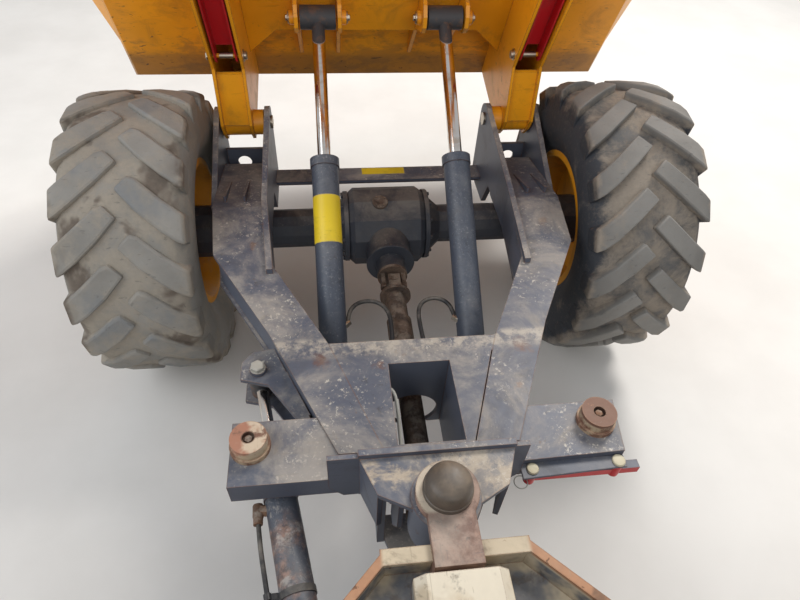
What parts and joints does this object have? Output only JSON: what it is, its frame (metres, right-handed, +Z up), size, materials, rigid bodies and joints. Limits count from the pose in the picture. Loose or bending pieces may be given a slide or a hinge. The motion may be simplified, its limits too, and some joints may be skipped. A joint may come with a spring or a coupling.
{
  "type": "articulated site dumper",
  "caption": "Articulated four-wheel site dumper with a front skip tipped forward on two rams, open operator station and folding roll bar.",
  "frame": {"origin": "bottom centre of the bounding box, on the ground, in the tipped rest pose", "axes": "+X to the machine's right, +Y forward to the skip's lip, +Z up"},
  "size_m": [2.4, 4.4662, 2.75],
  "materials": {
    "skip_paint": "worn amber paint",
    "red_paint": "worn red paint",
    "chassis_paint": "dusty dark blue-grey paint",
    "rusty_steel": "rust-brown bare steel",
    "bare_pin": "dull steel",
    "chrome_rod": "polished",
    "tyre_rubber": "dusty worn rubber",
    "panel_paint": "cream-grey worn paint",
    "black_plastic": "matte",
    "seat_vinyl": "vinyl",
    "lamp_lens": "gloss"
  },
  "bodies": {
    "front_chassis": {"frame_arms": "chassis_paint", "front_crossbeam": "chassis_paint", "pivot_box": "chassis_paint", "stop_wings": "chassis_paint", "rest_pads": "rusty_steel", "front_axle": "chassis_paint", "propshaft_front": "rusty_steel", "steering_bracket": "chassis_paint", "lock_bar": "red_paint", "hinge_pins": "bare_pin"},
    "wheel_front_left": {"tyre_front_left": "tyre_rubber", "rim_front_left": "skip_paint"},
    "wheel_front_right": {"tyre_front_right": "tyre_rubber", "rim_front_right": "skip_paint"},
    "wheel_rear_left": {"tyre_rear_left": "tyre_rubber", "rim_rear_left": "skip_paint"},
    "wheel_rear_right": {"tyre_rear_right": "tyre_rubber", "rim_rear_right": "skip_paint"},
    "skip": {"skip_floor": "skip_paint", "skip_front": "skip_paint", "skip_rear": "skip_paint", "skip_sides": "skip_paint", "skip_arms": "skip_paint", "skip_ram_beam": "skip_paint", "skip_rest_beam": "skip_paint"},
    "prop_left": {"prop_left": "red_paint"},
    "prop_right": {"prop_right": "red_paint"},
    "tip_barrel_left": {"tip_ram_barrel_left": "chassis_paint"},
    "tip_barrel_right": {"tip_ram_barrel_right": "chassis_paint"},
    "tip_rod_left": {"tip_ram_rod_left": "chrome_rod"},
    "tip_rod_right": {"tip_ram_rod_right": "chrome_rod"},
    "rear_chassis": {"rear_frame": "chassis_paint", "pivot_pins": "rusty_steel", "footwell": "panel_paint", "rear_axle": "chassis_paint", "gearbox": "chassis_paint", "propshaft_rear": "rusty_steel", "engine_block": "rusty_steel", "seat_base": "skip_paint", "engine_cowl": "skip_paint", "seat": "seat_vinyl", "steering_console": "black_plastic", "rops_posts": "chassis_paint", "rear_bumper": "chassis_paint", "side_tanks": "chassis_paint", "rear_fenders": "skip_paint", "rear_lamps": "lamp_lens"},
    "bonnet": {"bonnet": "skip_paint"},
    "steering_wheel": {"steering_wheel": "black_plastic"},
    "rops_hoop": {"rops_hoop": "chassis_paint"},
    "steer_barrel": {"steer_ram_barrel": "chassis_paint"},
    "steer_rod": {"steer_ram_rod": "chrome_rod"}
  },
  "joints": [
    {"name": "steer", "type": "hinge", "parent": "front_chassis", "child": "rear_chassis", "pos_m": [0, -0.31305, 0.54], "axis": [0, 0, 1], "range_deg": [-33, 33]},
    {"name": "wheel_spin_front_left", "type": "hinge", "parent": "front_chassis", "child": "wheel_front_left", "pos_m": [-0.856, 0.98695, 0.5375], "axis": [1, 0, 0], "continuous": true},
    {"name": "wheel_spin_rear_left", "type": "hinge", "parent": "rear_chassis", "child": "wheel_rear_left", "pos_m": [-0.856, -1.41305, 0.5375], "axis": [1, 0, 0], "continuous": true},
    {"name": "wheel_spin_front_right", "type": "hinge", "parent": "front_chassis", "child": "wheel_front_right", "pos_m": [0.856, 0.98695, 0.5375], "axis": [1, 0, 0], "continuous": true},
    {"name": "wheel_spin_rear_right", "type": "hinge", "parent": "rear_chassis", "child": "wheel_rear_right", "pos_m": [0.856, -1.41305, 0.5375], "axis": [1, 0, 0], "continuous": true},
    {"name": "skip_tip", "type": "hinge", "parent": "front_chassis", "child": "skip", "pos_m": [0, 1.29695, 0.825], "axis": [1, 0, 0], "range_deg": [0, 67]},
    {"name": "tip_ram_swing_left", "type": "hinge", "parent": "front_chassis", "child": "tip_barrel_left", "pos_m": [-0.225, 0.28695, 0.52], "axis": [1, 0, 0], "range_deg": [-0.2, 1.41]},
    {"name": "tip_ram_stroke_left", "type": "slide", "parent": "tip_barrel_left", "child": "tip_rod_left", "axis": [0, 0.8242, 0.5662], "range_m": [-0.4363, 0]},
    {"name": "prop_swing_left", "type": "hinge", "parent": "skip", "child": "prop_left", "pos_m": [-0.553, 1.26548, 1.10387], "axis": [-1, 0, 0], "range_deg": [-104, 0]},
    {"name": "tip_ram_swing_right", "type": "hinge", "parent": "front_chassis", "child": "tip_barrel_right", "pos_m": [0.225, 0.28695, 0.52], "axis": [1, 0, 0], "range_deg": [-0.2, 1.41]},
    {"name": "tip_ram_stroke_right", "type": "slide", "parent": "tip_barrel_right", "child": "tip_rod_right", "axis": [0, 0.8242, 0.5662], "range_m": [-0.4363, 0]},
    {"name": "prop_swing_right", "type": "hinge", "parent": "skip", "child": "prop_right", "pos_m": [0.553, 1.26548, 1.10387], "axis": [-1, 0, 0], "range_deg": [-104, 0]},
    {"name": "steer_ram_swing", "type": "hinge", "parent": "rear_chassis", "child": "steer_barrel", "pos_m": [-0.24, -0.86305, 0.636], "axis": [0, 0, 1], "range_deg": [-18, 18]},
    {"name": "steer_ram_stroke", "type": "slide", "parent": "steer_barrel", "child": "steer_rod", "axis": [-0.1852, 0.9827, 0], "range_m": [-0.19, 0.19]},
    {"name": "bonnet_lid", "type": "hinge", "parent": "rear_chassis", "child": "bonnet", "pos_m": [0, -2.05705, 1.01], "axis": [-1, 0, 0], "range_deg": [-60, 0]},
    {"name": "rops_fold", "type": "hinge", "parent": "rear_chassis", "child": "rops_hoop", "pos_m": [0, -1.57305, 1.56], "axis": [1, 0, 0], "range_deg": [0, 95]},
    {"name": "steering_wheel_turn", "type": "hinge", "parent": "rear_chassis", "child": "steering_wheel", "pos_m": [0, -0.91305, 1.43], "axis": [0, -0.5299, 0.848], "continuous": true}
  ],
  "couplings": [
    {"joint": "tip_ram_swing_left", "follows": "skip_tip", "ratio": 0.01801},
    {"joint": "tip_ram_stroke_left", "follows": "skip_tip", "m_per_rad": -0.37225},
    {"joint": "tip_ram_swing_right", "follows": "skip_tip", "ratio": 0.01801},
    {"joint": "tip_ram_stroke_right", "follows": "skip_tip", "m_per_rad": -0.37225},
    {"joint": "steer_ram_swing", "follows": "steer", "ratio": -0.53},
    {"joint": "steer_ram_stroke", "follows": "steer", "m_per_rad": 0.328}
  ]
}
